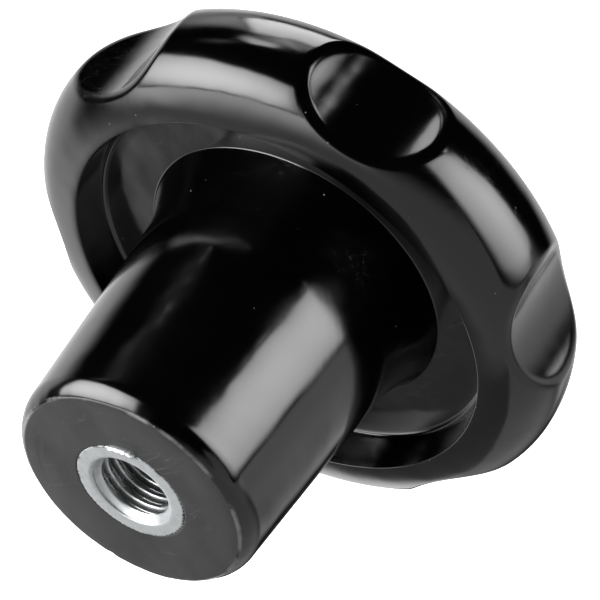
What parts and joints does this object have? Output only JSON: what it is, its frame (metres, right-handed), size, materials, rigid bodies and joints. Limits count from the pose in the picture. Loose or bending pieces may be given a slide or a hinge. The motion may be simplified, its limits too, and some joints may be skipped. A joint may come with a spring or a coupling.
{
  "type": "fluted clamping knob",
  "caption": "Fluted hand knob with a tall tapered hub, a ring-shaped finger recess under the rim and a moulded-in threaded bush.",
  "frame": {"origin": "centre of the flat hand face, on the surface that the knob stands on", "axes": "+Z along the thread's axis, from the hand face up the hub to the thread's mouth; +X through the middle of one flute"},
  "size_m": [0.0776, 0.08, 0.0551],
  "materials": {
    "phenolic": "polished black phenolic, with a dull faced-off nose",
    "plated_steel": "bright zinc-plated, turned end face"
  },
  "bodies": {
    "root": {"knob_body": "phenolic", "threaded_bush": "plated_steel"}
  },
  "joints": []
}
